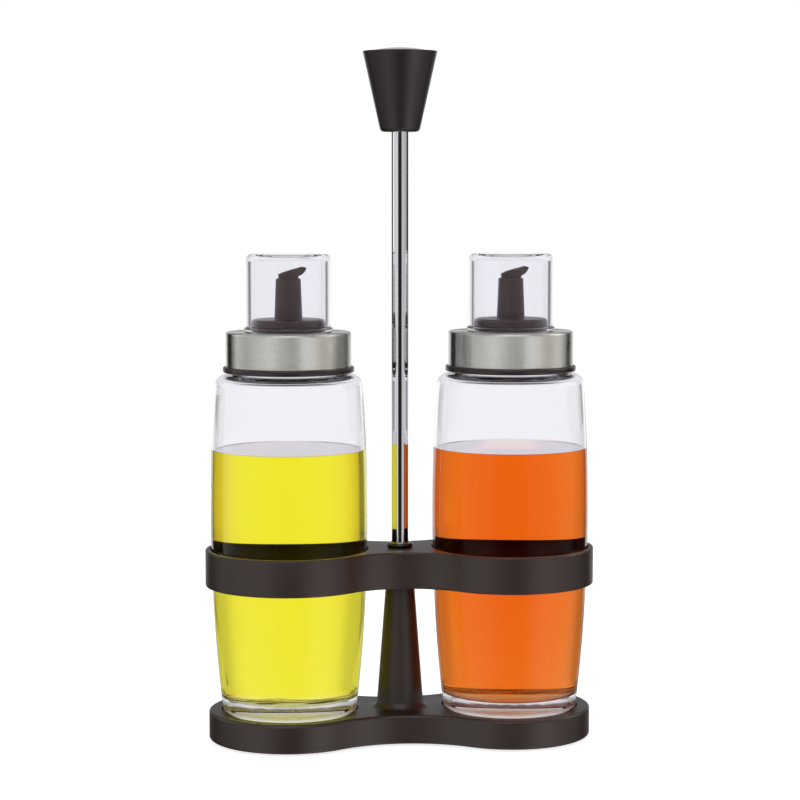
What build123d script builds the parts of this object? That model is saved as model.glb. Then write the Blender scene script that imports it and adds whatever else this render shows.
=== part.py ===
"""Two-bottle oil and vinegar cruet set.

A moulded stand holds two glass bottles side by side: a peanut-shaped base with a shallow
seat for each bottle and a tapered column, a holder band of the same outline at bottle-belly
height, and a plated rod with a cone-shaped grip. Each bottle carries a screw lid with a
steel band, a pourer with a beak, and a clear dust cap pushed over the pourer.

Frame: origin on the table under the column, +Z up, +X towards the vinegar bottle and
-Y towards the front. Sizes in millimetres.
"""

import os
from math import cos, radians, sin, sqrt

from build123d import *

# ---- stand plan ---------------------------------------------------------------------
station_gap = 15.08  # from the stand's centre to the edge of a bottle's hole in the band
base_border = 5.75  # around the seat, at the base's top
base_waist = 21.5  # half width of the base between the lobes
base_top_z = 14.5
foot_proud = 0.8  # the feet hold the skirt this far off the table
base_wall = 2.5
base_skin = 2.5
base_top_round = 1.2
base_bottom_round = 1.2

seat_depth = 1.5
seat_gap = 0.9  # around the glass, where it enters the seat
seat_floor_z = base_top_z - seat_depth

rib_thickness = 1.6
rib_bottom_z = 2.2

foot_radius = 6.0
foot_thickness = 2.2
foot_angle = 57.5  # of each foot about its bottle's axis, from the outward direction
foot_boss_wall = 1.8
foot_boss_gap = 1.8  # from the boss to the inside of the skirt
glue_gap = 0.1

# ---- rod, column and their fixing screw ------------------------------------------------
rod_radius = 4.0
rod_slip = 0.1
spigot_wall = 1.5
spigot_slip = 0.1
column_step = 1.15  # ledge around the spigot that carries the holder band
column_flare = 4.45  # growth in radius from the column's top to its foot
column_foot_round = 3.5

screw_radius = 2.5
screw_slip = 0.05
screw_hole_slip = 0.3
screw_head_radius = 4.75
screw_head_height = 2.6
screw_recess_depth = 0.9  # from the skirt's lower edge up to the screw head
screw_slot_width = 1.2
screw_slot_depth = 1.3
screw_grip = 11.0  # length of screw inside the rod
washer_radius = 6.0
washer_thickness = 1.0
washer_slip = 0.3
screw_web = 3.5  # plastic between the washer and the rod's end
screw_boss_wall = 3.0

# ---- holder band ---------------------------------------------------------------------
holder_bottom_z = 73.8
holder_height = 17.3
holder_wall = 2.2
holder_skin = 2.4
holder_waist = 18.35
holder_gap = 0.55  # around the glass at the band's top edge
holder_edge_round = 0.7
holder_boss_wall = 3.2
holder_rib = 1.6

collar_width = 2.07
collar_height = 2.2
collar_round = 0.9
collar_slip = 0.03

# ---- grip ----------------------------------------------------------------------------
grip_bottom_z = 286.8
grip_height = 37.4
grip_top_radius = 17.4
grip_bottom_radius = 9.1
grip_foot_round = 2.2
grip_wall = 2.9
grip_rim_wall = 0.6
grip_rim_depth = 1.5
grip_socket = 4.0  # how far the rod's full diameter enters
grip_web = 4.0  # plastic between the rod's shoulder and the insert
insert_wall = 1.45
insert_height = 12.0
stud_radius = 3.0
stud_slip = 0.05
stud_length = 12.0
disc_thickness = 0.8  # at its edge
disc_crown = 2.4  # rise from the disc's edge to its centre
disc_slip = 0.1

# ---- bottle --------------------------------------------------------------------------
belly_radius = 37.05
belly_z = 108.0
side_arc_radius = 810.0
glass_wall = 1.8
glass_base = 8.0
push_up = 1.6
bearing_inner_radius = 24.5
heel_round = 4.5
inner_heel_round = 4.0
shoulder_z = 173.2
shoulder_rise = 0.7
shoulder_round = 3.6
inner_shoulder_round = 3.0
neck_radius = 25.5
neck_wall = 2.5
neck_root_round = 0.6
neck_height = 15.1  # from the shoulder's highest point to the lip
lip_round = 0.9

thread_pitch = 4.0
thread_turns = 1.5
thread_height = 1.1
thread_width = 2.4
thread_crest = 1.0
thread_start = 3.7  # from the shoulder's highest point
thread_sink = 0.4

fill_level_z = 138.1
fill_gap = 0.3

# ---- lid -----------------------------------------------------------------------------
seal_thickness = 1.5
seal_overlap = 0.8  # past the lip's inner and outer edge
lid_gap = 0.7  # from the shoulder's highest point to the lid
flange_overhang = 1.35  # past the steel band
flange_thickness = 2.7
flange_round = 0.8
band_sheet = 0.5
band_round = 0.9
lid_plate = 2.5
lid_skirt_wall = 1.4
lid_skirt_room = 0.9  # from the neck's thread to the skirt's inside
lid_slip = 0.1
thread_clearance = 0.25  # from the lid's thread to the neck's

pourer_radius = 17.4
pourer_top_round = 1.8
pourer_rise = 6.1  # pourer disc above the steel band
pourer_skin = 2.0
plug_radius = 14.8
plug_depth = 4.5  # below the lid's plate
plug_wall = 1.6
plug_slip = 0.1
spout_foot_radius = 6.6
spout_top_radius = 5.85
spout_height = 18.9
spout_round = 0.8
spout_wall = 1.0  # at its top

beak_slip = 0.15
beak_wall = 1.15
beak_depth = 20.5  # tube length below the spout's top
beak_back = 2.1  # wall height above the spout's top, at the back
beak_crest = 5.6  # highest point above the spout's top
beak_crest_reach = 1.7  # crest's distance past the tube
beak_reach = 3.9  # tip's distance past the tube
beak_tip_drop = 0.6
beak_lip_gap = 0.3  # from the spout's top to where the beak may spread over it
beak_throat = 1.2  # height above the spout's top where the lip starts to reach out

cap_slip = 0.3  # around the pourer's base
cap_wall = 2.3
cap_top = 3.0
cap_top_round = 3.0
cap_inner_round = 1.4
cap_head_room = 3.0  # from the beak's crest to the cap's ceiling
cap_lip = 0.75  # width of the thicker lip, past the cup's wall
cap_lip_height = 1.6
cap_lip_lift = 0.3

# ---- worked out once -------------------------------------------------------------------
holder_top_z = holder_bottom_z + holder_height
shoulder_top_z = shoulder_z + shoulder_rise
lip_z = shoulder_top_z + neck_height
lid_bottom_z = shoulder_top_z + lid_gap
thread_start_z = shoulder_top_z + thread_start
mouth_radius = neck_radius - neck_wall
skirt_inner = neck_radius + thread_height + lid_skirt_room
skirt_radius = skirt_inner + lid_skirt_wall
band_radius = skirt_radius + lid_slip + band_sheet
flange_radius = band_radius + flange_overhang
plate_bottom_z = lip_z + seal_thickness
plate_top_z = plate_bottom_z + lid_plate
band_top_z = plate_top_z + band_sheet
band_bottom_z = lid_bottom_z + flange_thickness
pourer_top_z = band_top_z + pourer_rise
spout_top_z = pourer_top_z + spout_height
washer_top_z = foot_proud + screw_recess_depth + screw_head_height + washer_thickness
rod_bottom_z = washer_top_z + screw_web
grip_top_z = grip_bottom_z + grip_height
rod_shoulder_z = grip_bottom_z + grip_socket
insert_bottom_z = rod_shoulder_z + grip_web
cap_bottom_z = band_top_z + cap_lip_lift
cap_ceiling_z = spout_top_z + beak_crest + cap_head_room
cap_inner_radius = pourer_radius + cap_slip
cap_radius = cap_inner_radius + cap_wall
spout_bore = spout_top_radius - spout_wall
beak_radius = spout_bore - beak_slip
rod_bore = rod_radius + rod_slip
spigot_radius = rod_bore + spigot_wall
column_top_radius = spigot_radius + column_step
column_foot_radius = column_top_radius + column_flare


def side_radius(z, inset=0.0):
    """Bottle radius at height z, on one long arc; inset moves the arc inwards."""
    arc = side_arc_radius - inset
    return belly_radius - side_arc_radius + sqrt(arc**2 - (z - belly_z) ** 2)


seat_radius = side_radius(base_top_z) + seat_gap
holder_hole_radius = side_radius(holder_top_z) + holder_gap
holder_lobe_radius = holder_hole_radius + holder_wall
base_lobe_radius = seat_radius + base_border
skirt_inside = base_lobe_radius - base_wall
station_x = holder_hole_radius + station_gap
stations = {"oil": -station_x, "vinegar": station_x}


# ---- helpers ---------------------------------------------------------------------------
def section(x):
    """Upright plane through a vertical axis at x: local X is the radius, local Y the height."""
    return Plane(origin=(x, 0, 0), x_dir=(1, 0, 0), z_dir=(0, -1, 0))


def upright(x):
    return Axis((x, 0, 0), (0, 0, 1))


def level(z):
    return Plane.XY.offset(z)


def peanut(lobe_radius, waist):
    """Face of two lobes at the bottle stations, joined by concave arcs that touch both."""
    hollow = (station_x**2 + waist**2 - lobe_radius**2) / (2 * (lobe_radius - waist))
    reach = lobe_radius / (lobe_radius + hollow)
    tx = station_x * (1 - reach)
    ty = (waist + hollow) * reach
    with BuildLine() as outline:
        ThreePointArc((tx, ty), (station_x + lobe_radius, 0), (tx, -ty))
        ThreePointArc((tx, -ty), (0, -waist), (-tx, -ty))
        ThreePointArc((-tx, -ty), (-station_x - lobe_radius, 0), (-tx, ty))
        ThreePointArc((-tx, ty), (0, waist), (tx, ty))
    make_face(outline.edges())


def corner(sketch, radius, height):
    """The vertex of a section nearest to a radius and height."""
    return sketch.vertices().sort_by_distance((radius, height, 0))[0]


def save(piece, name):
    """Labels a finished piece and writes it as parts/NAME.step."""
    piece.part.label = name
    export_step(piece.part, f"parts/{name}.step")


# ---- stand -----------------------------------------------------------------------------
def make_base():
    """Base and column, one moulding, hollow and ribbed underneath."""
    rib_height = base_top_z - base_skin - rib_bottom_z
    boss_radius = washer_radius + washer_slip + screw_boss_wall
    foot_pocket = foot_radius + glue_gap
    foot_ring = skirt_inside - foot_boss_gap - foot_boss_wall - foot_pocket
    foot_x = station_x + foot_ring * cos(radians(foot_angle))
    foot_y = foot_ring * sin(radians(foot_angle))
    feet = [(sx * foot_x, sy * foot_y) for sx in (-1, 1) for sy in (-1, 1)]
    with BuildPart() as base:
        with BuildSketch(level(foot_proud)):
            peanut(base_lobe_radius, base_waist)
        extrude(amount=base_top_z - foot_proud)
        fillet(base.edges().group_by(Axis.Z)[-1], base_top_round)
        fillet(base.edges().group_by(Axis.Z)[0], base_bottom_round)
        # the moulding's inside, up to the top skin
        with BuildSketch(level(foot_proud)):
            peanut(skirt_inside, base_waist - base_wall)
        extrude(amount=base_top_z - base_skin - foot_proud, mode=Mode.SUBTRACT)
        # thicker floor under each seat, ribs, foot bosses and the screw boss
        with BuildSketch(level(seat_floor_z - base_skin)):
            with Locations((-station_x, 0), (station_x, 0)):
                Circle(seat_radius + base_skin)
        extrude(amount=seat_depth)
        with BuildSketch(level(rib_bottom_z)):
            Rectangle(2 * (station_x + skirt_inside + 1), rib_thickness)
            with Locations((-station_x, 0), (station_x, 0)):
                Rectangle(rib_thickness, 2 * (skirt_inside + 1))
        extrude(amount=rib_height)
        with BuildSketch(level(foot_proud)):
            with Locations(*feet):
                Circle(foot_pocket + foot_boss_wall)
            Circle(boss_radius)
        extrude(amount=base_top_z - base_skin - foot_proud)
        # seats from above, foot pockets from below
        with BuildSketch(level(seat_floor_z)):
            with Locations((-station_x, 0), (station_x, 0)):
                Circle(seat_radius)
        extrude(amount=seat_depth, mode=Mode.SUBTRACT)
        with BuildSketch(level(foot_proud)):
            with Locations(*feet):
                Circle(foot_pocket)
        extrude(amount=foot_thickness - foot_proud, mode=Mode.SUBTRACT)
        # tapered column with its spigot, bored for the rod
        with BuildSketch(section(0)) as side:
            with BuildLine():
                Polyline(
                    (0, base_top_z - base_skin),
                    (column_foot_radius + column_foot_round, base_top_z - base_skin),
                    (column_foot_radius + column_foot_round, base_top_z),
                    (column_foot_radius, base_top_z),
                    (column_top_radius, holder_bottom_z),
                    (spigot_radius, holder_bottom_z),
                    (spigot_radius, holder_top_z - holder_skin - spigot_slip),
                    (0, holder_top_z - holder_skin - spigot_slip),
                    close=True,
                )
            make_face()
            fillet(corner(side, column_foot_radius, base_top_z), column_foot_round)
        revolve(axis=upright(0))
        with BuildSketch(level(foot_proud)):
            Circle(washer_radius + washer_slip)
        extrude(amount=washer_top_z - foot_proud, mode=Mode.SUBTRACT)
        with BuildSketch(level(foot_proud)):
            Circle(screw_radius + screw_hole_slip)
        extrude(amount=rod_bottom_z - foot_proud, mode=Mode.SUBTRACT)
        with BuildSketch(level(rod_bottom_z)):
            Circle(rod_bore)
        extrude(amount=holder_top_z - rod_bottom_z, mode=Mode.SUBTRACT)
    save(base, "base_column")

    with BuildPart() as pads:
        with BuildSketch(level(0)):
            with Locations(*feet):
                Circle(foot_radius)
        extrude(amount=foot_thickness)
        chamfer(pads.edges().group_by(Axis.Z)[0], 0.3)
    save(pads, "feet")


def make_holder():
    """Band that steadies both bottles, with a bored web clamped between column and collar."""
    with BuildPart() as holder:
        with BuildSketch(level(holder_bottom_z)):
            peanut(holder_lobe_radius, holder_waist)
        extrude(amount=holder_height)
        fillet(holder.edges().group_by(Axis.Z)[-1], holder_edge_round)
        fillet(holder.edges().group_by(Axis.Z)[0], holder_edge_round)
        # hollow web, left open underneath
        with BuildSketch(level(holder_bottom_z)):
            peanut(holder_lobe_radius - holder_wall, holder_waist - holder_wall)
            with Locations((-station_x, 0), (station_x, 0)):
                Circle(holder_lobe_radius, mode=Mode.SUBTRACT)
            Circle(spigot_radius + spigot_slip + holder_boss_wall, mode=Mode.SUBTRACT)
            Rectangle(2 * station_x, holder_rib, mode=Mode.SUBTRACT)
            Rectangle(holder_rib, 2 * holder_waist, mode=Mode.SUBTRACT)
        extrude(amount=holder_height - holder_skin, mode=Mode.SUBTRACT)
        with BuildSketch(level(holder_bottom_z)):
            with Locations((-station_x, 0), (station_x, 0)):
                Circle(holder_hole_radius)
        extrude(amount=holder_height, mode=Mode.SUBTRACT)
        with BuildSketch(level(holder_bottom_z)):
            Circle(spigot_radius + spigot_slip)
        extrude(amount=holder_height - holder_skin, mode=Mode.SUBTRACT)
        with BuildSketch(level(holder_bottom_z)):
            Circle(rod_bore)
        extrude(amount=holder_height, mode=Mode.SUBTRACT)
    save(holder, "holder_band")


def make_rod():
    """Plated rod: tapped at the foot, shouldered and studded at the top."""
    tapped_radius = screw_radius + screw_slip
    stud_top_z = rod_shoulder_z + grip_web + stud_length
    with BuildPart() as rod:
        with BuildSketch(section(0)):
            with BuildLine():
                Polyline(
                    (tapped_radius, rod_bottom_z),
                    (rod_radius, rod_bottom_z),
                    (rod_radius, rod_shoulder_z),
                    (stud_radius, rod_shoulder_z),
                    (stud_radius, stud_top_z),
                    (0, stud_top_z),
                    (0, rod_bottom_z + screw_grip + 2 * tapped_radius),
                    (tapped_radius, rod_bottom_z + screw_grip + tapped_radius),
                    close=True,
                )
            make_face()
        revolve(axis=upright(0))
        chamfer(rod.edges().group_by(Axis.Z)[-1], 0.5)
    save(rod, "rod")

    with BuildPart() as collar:
        with BuildSketch(section(0)) as side:
            with Locations((rod_radius + collar_slip, holder_top_z)):
                Rectangle(collar_width, collar_height, align=(Align.MIN, Align.MIN))
            fillet(side.vertices().group_by(Axis.Y)[-1], collar_round)
        revolve(axis=upright(0))
    save(collar, "rod_collar")


def make_screw():
    """Fixing screw and washer, up through the base into the rod."""
    head_top_z = washer_top_z - washer_thickness
    head_bottom_z = head_top_z - screw_head_height
    with BuildPart() as screw:
        with BuildSketch(level(head_bottom_z)):
            Circle(screw_head_radius)
        extrude(amount=screw_head_height)
        fillet(screw.edges().group_by(Axis.Z)[0], screw_head_height / 2)
        with BuildSketch(level(head_top_z)):
            Circle(screw_radius)
        extrude(amount=rod_bottom_z + screw_grip - head_top_z)
        chamfer(screw.edges().group_by(Axis.Z)[-1], 0.5)
        with BuildSketch(level(head_bottom_z)):
            Rectangle(screw_head_radius, screw_slot_width)
            Rectangle(screw_slot_width, screw_head_radius)
        extrude(amount=screw_slot_depth, mode=Mode.SUBTRACT)
    save(screw, "base_screw")

    with BuildPart() as washer:
        with BuildSketch(level(head_top_z)):
            Circle(washer_radius)
            Circle(screw_radius + washer_slip, mode=Mode.SUBTRACT)
        extrude(amount=washer_thickness)
    save(washer, "base_washer")


def make_grip():
    """Cone-shaped grip with a threaded insert inside and a crowned steel disc on top."""
    taper = (grip_top_radius - grip_bottom_radius) / grip_height
    rim_z = grip_top_z - grip_rim_depth
    rim_radius = grip_top_radius - grip_rim_wall
    core_floor_z = insert_bottom_z + insert_height
    insert_radius = stud_radius + stud_slip + insert_wall
    core_top = grip_top_radius - taper * grip_rim_depth - grip_wall
    core_floor = grip_top_radius - taper * (grip_top_z - core_floor_z) - grip_wall
    with BuildPart() as grip:
        with BuildSketch(section(0)) as side:
            with BuildLine():
                Polyline(
                    (0, grip_bottom_z),
                    (grip_bottom_radius, grip_bottom_z),
                    (grip_top_radius, grip_top_z),
                    (rim_radius, grip_top_z),
                    (rim_radius, rim_z),
                    (core_top, rim_z),
                    (core_floor, core_floor_z),
                    (0, core_floor_z),
                    close=True,
                )
            make_face()
            fillet(corner(side, grip_bottom_radius, grip_bottom_z), grip_foot_round)
        revolve(axis=upright(0))
        with BuildSketch(level(grip_bottom_z)):
            Circle(rod_bore)
        extrude(amount=grip_socket, mode=Mode.SUBTRACT)
        with BuildSketch(level(rod_shoulder_z)):
            Circle(stud_radius + stud_slip)
        extrude(amount=grip_web, mode=Mode.SUBTRACT)
        with BuildSketch(level(insert_bottom_z)):
            Circle(insert_radius + glue_gap)
        extrude(amount=insert_height, mode=Mode.SUBTRACT)
    save(grip, "grip_cone")

    with BuildPart() as insert:
        with BuildSketch(level(insert_bottom_z)):
            Circle(insert_radius)
            Circle(stud_radius + stud_slip, mode=Mode.SUBTRACT)
        extrude(amount=insert_height)
        chamfer(insert.edges().group_by(Axis.Z)[-1], 0.4)
    save(insert, "grip_insert")

    disc_radius = rim_radius - disc_slip
    crown_z = rim_z + disc_thickness + disc_crown
    crown_radius = (disc_radius**2 + disc_crown**2) / (2 * disc_crown)
    with BuildPart() as disc:
        with BuildSketch(level(rim_z)):
            Circle(disc_radius)
        extrude(amount=disc_thickness + disc_crown)
        with Locations((0, 0, crown_z - crown_radius)):
            Sphere(crown_radius, mode=Mode.INTERSECT)
    save(disc, "grip_disc")


# ---- bottles -----------------------------------------------------------------------------
def thread_ridge(x, root, crest, start_z):
    """Helical ridge between two radii, about the axis at x; it joins the part being built."""
    outwards = 1 if crest > root else -1
    with BuildLine():
        helix = Helix(thread_pitch, thread_pitch * thread_turns, root, center=(x, 0, start_z))
    start = Plane(origin=helix @ 0, x_dir=(1, 0, 0), z_dir=helix % 0)
    with BuildSketch(start) as profile:
        with BuildLine():
            Polyline(
                (-outwards * thread_sink, -thread_width / 2),
                (crest - root, -thread_crest / 2),
                (crest - root, thread_crest / 2),
                (-outwards * thread_sink, thread_width / 2),
                close=True,
            )
        make_face()
    sweep(profile.sketch, path=helix, is_frenet=True)


def make_bottle(name, x):
    """Glass bottle: long-arc sides, thick heel with a push-up, wide threaded neck."""
    inner_floor_z = seat_floor_z + glass_base
    ceiling_z = shoulder_z - glass_wall
    with BuildPart() as bottle:
        with BuildSketch(section(x)) as side:
            with BuildLine():
                punt = ThreePointArc(
                    (0, seat_floor_z + push_up),
                    (bearing_inner_radius / 2, seat_floor_z + 0.75 * push_up),
                    (bearing_inner_radius, seat_floor_z),
                )
                heel = Line(punt @ 1, (side_radius(seat_floor_z), seat_floor_z))
                wall = ThreePointArc(
                    heel @ 1, (belly_radius, belly_z), (side_radius(shoulder_z), shoulder_z)
                )
                neck = Polyline(
                    wall @ 1,
                    (neck_radius, shoulder_z + shoulder_rise),
                    (neck_radius, lip_z),
                    (mouth_radius, lip_z),
                    (mouth_radius, ceiling_z + shoulder_rise),
                    (side_radius(ceiling_z, glass_wall), ceiling_z),
                )
                inside = ThreePointArc(
                    neck @ 1,
                    (belly_radius - glass_wall, belly_z),
                    (side_radius(inner_floor_z, glass_wall), inner_floor_z),
                )
                Polyline(inside @ 1, (0, inner_floor_z), punt @ 0)
            make_face()
            fillet(corner(side, side_radius(seat_floor_z), seat_floor_z), heel_round)
            fillet(corner(side, side_radius(shoulder_z), shoulder_z), shoulder_round)
            fillet(corner(side, neck_radius, shoulder_z + shoulder_rise), neck_root_round)
            fillet(corner(side, neck_radius, lip_z), lip_round)
            fillet(corner(side, mouth_radius, lip_z), lip_round)
            fillet(
                corner(side, side_radius(ceiling_z, glass_wall), ceiling_z),
                inner_shoulder_round,
            )
            fillet(
                corner(side, side_radius(inner_floor_z, glass_wall), inner_floor_z),
                inner_heel_round,
            )
        revolve(axis=upright(x))
        thread_ridge(x, neck_radius, neck_radius + thread_height, thread_start_z)
    save(bottle, f"{name}_bottle")

    inset = glass_wall + fill_gap
    fill_floor_z = inner_floor_z + fill_gap
    with BuildPart() as fill:
        with BuildSketch(section(x)) as side:
            with BuildLine():
                wall = ThreePointArc(
                    (side_radius(fill_floor_z, inset), fill_floor_z),
                    (belly_radius - inset, belly_z),
                    (side_radius(fill_level_z, inset), fill_level_z),
                )
                Polyline(wall @ 1, (0, fill_level_z), (0, fill_floor_z), wall @ 0)
            make_face()
            fillet(
                corner(side, side_radius(fill_floor_z, inset), fill_floor_z),
                inner_heel_round - fill_gap,
            )
        revolve(axis=upright(x))
    save(fill, f"{name}_fill")


def make_lid(name, x):
    """Screw lid: silicone seal, threaded shell and the steel band pressed over it."""
    thread_crest_radius = neck_radius + thread_height + thread_clearance
    with BuildPart() as seal:
        with BuildSketch(level(lip_z)):
            with Locations((x, 0)):
                Circle(neck_radius + seal_overlap)
                Circle(mouth_radius - seal_overlap, mode=Mode.SUBTRACT)
        extrude(amount=seal_thickness)
    save(seal, f"{name}_lid_seal")

    with BuildPart() as shell:
        with BuildSketch(section(x)) as side:
            with BuildLine():
                Polyline(
                    (skirt_inner, lid_bottom_z),
                    (flange_radius, lid_bottom_z),
                    (flange_radius, band_bottom_z),
                    (skirt_radius, band_bottom_z),
                    (skirt_radius, plate_top_z),
                    (plug_radius + plug_slip, plate_top_z),
                    (plug_radius + plug_slip, plate_bottom_z),
                    (skirt_inner, plate_bottom_z),
                    close=True,
                )
            make_face()
            fillet(corner(side, flange_radius, lid_bottom_z), flange_round)
            fillet(corner(side, flange_radius, band_bottom_z), flange_round)
            fillet(corner(side, skirt_radius, plate_top_z), band_round - band_sheet)
        revolve(axis=upright(x))
        thread_ridge(x, skirt_inner, thread_crest_radius, thread_start_z + thread_pitch / 2)
    save(shell, f"{name}_lid_shell")

    with BuildPart() as band:
        with BuildSketch(section(x)) as side:
            with BuildLine():
                Polyline(
                    (band_radius - band_sheet, band_bottom_z),
                    (band_radius, band_bottom_z),
                    (band_radius, band_top_z),
                    (pourer_radius + plug_slip, band_top_z),
                    (pourer_radius + plug_slip, plate_top_z),
                    (band_radius - band_sheet, plate_top_z),
                    close=True,
                )
            make_face()
            fillet(corner(side, band_radius, band_top_z), band_round)
            fillet(corner(side, band_radius - band_sheet, plate_top_z), band_round - band_sheet)
        revolve(axis=upright(x))
    save(band, f"{name}_lid_band")


def teardrop(radius, tip_x):
    """Face of a circle with straight flanks that meet in a point at tip_x."""
    tx = radius**2 / tip_x
    ty = sqrt(radius**2 - tx**2)
    with BuildLine() as outline:
        ThreePointArc((tx, ty), (-radius, 0), (tx, -ty))
        Polyline((tx, -ty), (tip_x, 0), (tx, ty))
    make_face(outline.edges())


def beak_outline(radius, tip_x, throat, tip, crest, back, bottom_z):
    """Side view of the beak: upright back, rising rim, pointed lip with a hollow underside."""
    with BuildLine() as outline:
        body = Polyline(
            (radius, spout_top_z + throat),
            (radius, bottom_z),
            (-radius, bottom_z),
            (-radius, spout_top_z + back),
            (radius + beak_crest_reach, spout_top_z + crest),
        )
        nose = Line(body @ 1, (tip_x, spout_top_z + tip))
        RadiusArc(nose @ 1, body @ 0, tip_x - radius + 1.5)
    make_face(outline.edges())


def make_pourer(name, x):
    """Pourer: domed base plugged into the lid with a tapered spout, and the beak inside it."""
    plug_bottom_z = plate_bottom_z - plug_depth
    dome_z = pourer_top_z - pourer_skin
    with BuildPart() as pourer:
        with BuildSketch(section(x)) as side:
            with BuildLine():
                Polyline(
                    (plug_radius - plug_wall, plug_bottom_z),
                    (plug_radius, plug_bottom_z),
                    (plug_radius, plate_top_z),
                    (pourer_radius, plate_top_z),
                    (pourer_radius, pourer_top_z),
                    (spout_foot_radius, pourer_top_z),
                    (spout_top_radius, spout_top_z),
                    (spout_bore, spout_top_z),
                    (spout_bore, dome_z),
                    (plug_radius - plug_wall, dome_z),
                    close=True,
                )
            make_face()
            fillet(corner(side, pourer_radius, pourer_top_z), pourer_top_round)
            fillet(corner(side, spout_foot_radius, pourer_top_z), spout_round / 2)
            fillet(corner(side, spout_top_radius, spout_top_z), spout_round / 2)
        revolve(axis=upright(x))
    save(pourer, f"{name}_pourer")

    tube_bottom_z = spout_top_z - beak_depth
    tip_x = beak_radius + beak_reach
    with BuildPart() as beak:
        with BuildSketch(Plane(origin=(x, 0, tube_bottom_z))):
            Circle(beak_radius)
        extrude(amount=beak_depth + beak_crest)
        with BuildSketch(Plane(origin=(x, 0, spout_top_z + beak_lip_gap))):
            teardrop(beak_radius, tip_x)
        extrude(amount=beak_crest)
        with BuildSketch(section(x)):
            beak_outline(
                beak_radius,
                tip_x,
                beak_throat,
                beak_crest - beak_tip_drop,
                beak_crest,
                beak_back,
                tube_bottom_z,
            )
        extrude(amount=tip_x, both=True, mode=Mode.INTERSECT)
        with BuildSketch(level(tube_bottom_z)):
            with Locations((x, 0)):
                Circle(beak_radius - beak_wall)
        extrude(amount=beak_depth + beak_crest, mode=Mode.SUBTRACT)
    save(beak, f"{name}_beak")


def make_dust_cap(name, x):
    """Clear cup pushed over the pourer, with a thicker lip at its mouth."""
    top_z = cap_ceiling_z + cap_top
    lip_radius = cap_radius + cap_lip
    with BuildPart() as cap:
        with BuildSketch(section(x)) as side:
            with BuildLine():
                Polyline(
                    (0, cap_ceiling_z),
                    (cap_inner_radius, cap_ceiling_z),
                    (cap_inner_radius, cap_bottom_z),
                    (lip_radius, cap_bottom_z),
                    (lip_radius, cap_bottom_z + cap_lip_height),
                    (cap_radius, cap_bottom_z + cap_lip_height),
                    (cap_radius, top_z),
                    (0, top_z),
                    close=True,
                )
            make_face()
            fillet(corner(side, cap_radius, top_z), cap_top_round)
            fillet(corner(side, cap_inner_radius, cap_ceiling_z), cap_inner_round)
        revolve(axis=upright(x))
    save(cap, f"{name}_dust_cap")


os.makedirs("parts", exist_ok=True)
make_base()
make_holder()
make_rod()
make_screw()
make_grip()
for contents, axis_x in stations.items():
    make_bottle(contents, axis_x)
    make_lid(contents, axis_x)
    make_pourer(contents, axis_x)
    make_dust_cap(contents, axis_x)
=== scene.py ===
"""Cruet set: glass bottles with oil and vinegar, steel-banded lids, pourers and dust caps in a black
carrying stand. Every new piece is a surface worked out with numpy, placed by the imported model's sizes.
"""

import math

import bpy
import numpy as np
from bpy.props import FloatProperty, FloatVectorProperty, IntProperty, PointerProperty
from bpy.types import Operator, Panel, PropertyGroup
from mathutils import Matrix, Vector


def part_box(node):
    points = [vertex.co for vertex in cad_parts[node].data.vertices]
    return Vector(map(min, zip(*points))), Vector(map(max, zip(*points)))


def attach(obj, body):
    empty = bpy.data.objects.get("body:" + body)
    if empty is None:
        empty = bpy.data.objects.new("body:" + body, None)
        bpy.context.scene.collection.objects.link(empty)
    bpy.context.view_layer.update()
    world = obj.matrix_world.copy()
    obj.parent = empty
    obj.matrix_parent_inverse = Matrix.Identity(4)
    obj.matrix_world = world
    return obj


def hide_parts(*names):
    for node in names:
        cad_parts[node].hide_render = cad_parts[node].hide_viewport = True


bl_info = {
    "name": "Cruet set",
    "version": (1, 0, 0),
    "blender": (4, 5, 0),
    "location": "View3D > Sidebar > Cruet",
    "description": "Builds the glass, liquids, metal and plastic of a two-bottle cruet set",
    "category": "Add Mesh",
}

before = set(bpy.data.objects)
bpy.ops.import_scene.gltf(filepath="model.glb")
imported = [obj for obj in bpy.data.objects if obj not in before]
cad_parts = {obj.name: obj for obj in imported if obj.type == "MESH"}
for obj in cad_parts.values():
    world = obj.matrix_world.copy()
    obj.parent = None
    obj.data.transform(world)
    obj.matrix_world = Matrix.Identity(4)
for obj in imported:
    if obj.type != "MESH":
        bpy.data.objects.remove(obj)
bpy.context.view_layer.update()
# how much each liquid bends light: sunflower oil nearly as glass does, vinegar as water does
LIQUIDS = {"oil": 1.47, "vinegar": 1.36}
STATIONS = tuple(LIQUIDS)
GLASS_IOR = 1.5
ACRYLIC_IOR = 1.49


def middle(node):
    """Centre of a node's box."""
    low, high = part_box(node)
    return (low + high) / 2


def axis_of(contents):
    """X of the bottle's upright axis."""
    return middle(f"{contents}_dust_cap").x


def hexed(code):
    """Linear colour of an sRGB hex value: each channel c is c/12.92 up to 0.04045 and
    ((c + 0.055) / 1.055) to the power 2.4 above it."""
    srgb = [int(code[i : i + 2], 16) / 255 for i in (1, 3, 5)]
    linear = [c / 12.92 if c <= 0.04045 else ((c + 0.055) / 1.055) ** 2.4 for c in srgb]
    return (*linear, 1.0)


def grey(level):
    return (level, level, level, 1.0)


def shade(tint, by):
    """The tint made darker or lighter."""
    return (*(c * by for c in tint[:3]), 1.0)


def colour(code, name, description):
    return FloatVectorProperty(
        name=name, description=description, subtype="COLOR", size=4, min=0, max=1, default=hexed(code)
    )


def length(value, name, description):
    return FloatProperty(name=name, description=description, default=value, unit="LENGTH", precision=5)


def number(value, name, description):
    return FloatProperty(name=name, description=description, default=value)


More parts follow.
